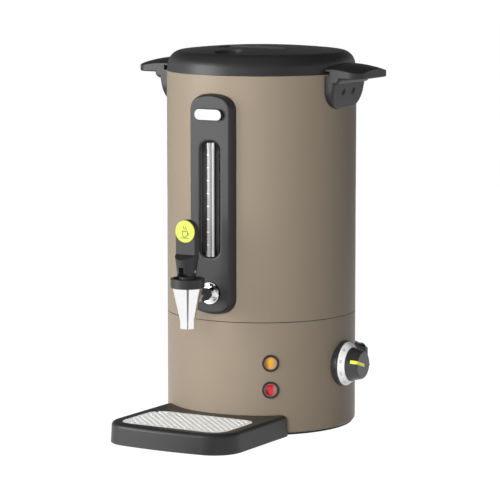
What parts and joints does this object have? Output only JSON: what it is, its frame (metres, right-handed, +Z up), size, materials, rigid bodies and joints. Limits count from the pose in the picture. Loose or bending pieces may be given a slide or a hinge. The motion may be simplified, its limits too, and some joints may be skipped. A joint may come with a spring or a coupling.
{
  "type": "hot water urn",
  "caption": "Double-walled hot water urn with a tilting-lever tap, water gauge, twist-lock lid, side handles, temperature knob and drip tray.",
  "frame": {"origin": "on the drum's axis, at the surface that the urn stands on", "axes": "+Z up along the drum, -Y towards the tap and drip tray, +X towards the temperature knob"},
  "size_m": [0.304, 0.3453, 0.4468],
  "materials": {
    "taupe_paint": "satin",
    "charcoal_plastic": "fine satin texture",
    "black_plastic": "satin",
    "stainless": "brushed",
    "polished_chrome": "polished",
    "zinc_steel": "zinc plated",
    "cast_aluminium": "cast",
    "copper_tube": "drawn",
    "black_rubber": "matt",
    "white_silicone": "soft",
    "gauge_glass": "clear",
    "white_plastic": "gloss",
    "cream_plastic": "moulded",
    "lime_plastic": "gloss",
    "amber_plastic": "clear",
    "red_plastic": "clear",
    "green_plastic": "gloss"
  },
  "bodies": {
    "root": {"upper_shell": "taupe_paint", "lower_shell": "taupe_paint", "joining_ring": "black_plastic", "base_plate": "zinc_steel", "foot_ring": "black_rubber", "tie_studs": "zinc_steel", "tie_nuts": "zinc_steel", "tank_jacket": "stainless", "tank_floor": "stainless", "heater_plate": "cast_aluminium", "heater_element": "zinc_steel", "heat_shield": "zinc_steel", "thermal_cutout": "zinc_steel", "handle_right": "charcoal_plastic", "handle_left": "charcoal_plastic", "handle_screws": "zinc_steel", "handle_backing_plates": "zinc_steel", "gauge_panel": "charcoal_plastic", "badge_plate": "white_plastic", "gauge_trough": "black_plastic", "sight_glass": "gauge_glass", "gauge_top_cap": "black_plastic", "gauge_elbow": "white_silicone", "panel_screws": "zinc_steel", "tap_body": "polished_chrome", "tap_escutcheon": "polished_chrome", "tap_washer": "white_silicone", "tap_nut": "zinc_steel", "tap_bonnet": "charcoal_plastic", "tap_spring": "zinc_steel", "dial_bezel": "black_plastic", "dial_ring": "white_plastic", "dial_nut": "zinc_steel", "thermostat_body": "cream_plastic", "thermostat_capillary": "copper_tube", "lamp_bezels": "black_plastic", "lamp_bodies": "stainless", "amber_lens": "amber_plastic", "red_lens": "red_plastic", "switch_housing": "black_plastic", "switch_body": "black_plastic", "cord_gland": "black_plastic", "terminal_block": "cream_plastic"},
    "lid_seal": {"lid_gasket": "white_silicone"},
    "lid": {"lid_shell": "charcoal_plastic", "steam_vent": "charcoal_plastic", "lid_liner": "stainless", "lid_screws": "zinc_steel"},
    "tap_valve": {"tap_stem": "zinc_steel", "tap_seat_cup": "white_silicone"},
    "tap_handle": {"tap_lever": "charcoal_plastic", "lever_pin": "zinc_steel", "lever_button": "lime_plastic"},
    "dial_knob": {"knob": "charcoal_plastic", "knob_pointer": "lime_plastic", "thermostat_shaft": "zinc_steel"},
    "rocker": {"switch_rocker": "green_plastic"},
    "tray": {"drip_tray": "charcoal_plastic"},
    "grille": {"drip_grille": "stainless"}
  },
  "joints": [
    {"name": "lid_lift", "type": "slide", "parent": "root", "child": "lid_seal", "axis": [0, 0, 1], "range_m": [0, 0.12]},
    {"name": "lid_turn", "type": "hinge", "parent": "lid_seal", "child": "lid", "pos_m": [0, 0, 0.42], "axis": [0, 0, 1], "range_deg": [0, 25]},
    {"name": "tap_stem_lift", "type": "slide", "parent": "root", "child": "tap_valve", "axis": [0, 0, 1], "range_m": [0, 0.0036], "stiffness_N_per_m": 600, "springref_m": -0.008, "deforming": ["tap_spring"]},
    {"name": "tap_lever_pull", "type": "hinge", "parent": "tap_valve", "child": "tap_handle", "pos_m": [0, -0.169, 0.1982], "axis": [1, 0, 0], "range_deg": [0, 30]},
    {"name": "thermostat_turn", "type": "hinge", "parent": "root", "child": "dial_knob", "pos_m": [0.13, 0, 0.076], "axis": [-1, 0, 0], "range_deg": [-40, 230]},
    {"name": "power_rocker", "type": "hinge", "parent": "root", "child": "rocker", "pos_m": [0.09535, 0.0745, 0.072], "axis": [-0.6157, 0.788, 0], "range_deg": [0, 14]},
    {"name": "tray_slide", "type": "slide", "parent": "root", "child": "tray", "axis": [0, -1, 0], "range_m": [0, 0.15]},
    {"name": "grille_lift", "type": "slide", "parent": "tray", "child": "grille", "axis": [0, 0, 1], "range_m": [0, 0.05]}
  ],
  "couplings": [
    {"joint": "tap_lever_pull", "follows": "tap_stem_lift", "rad_per_m": 135.75}
  ]
}
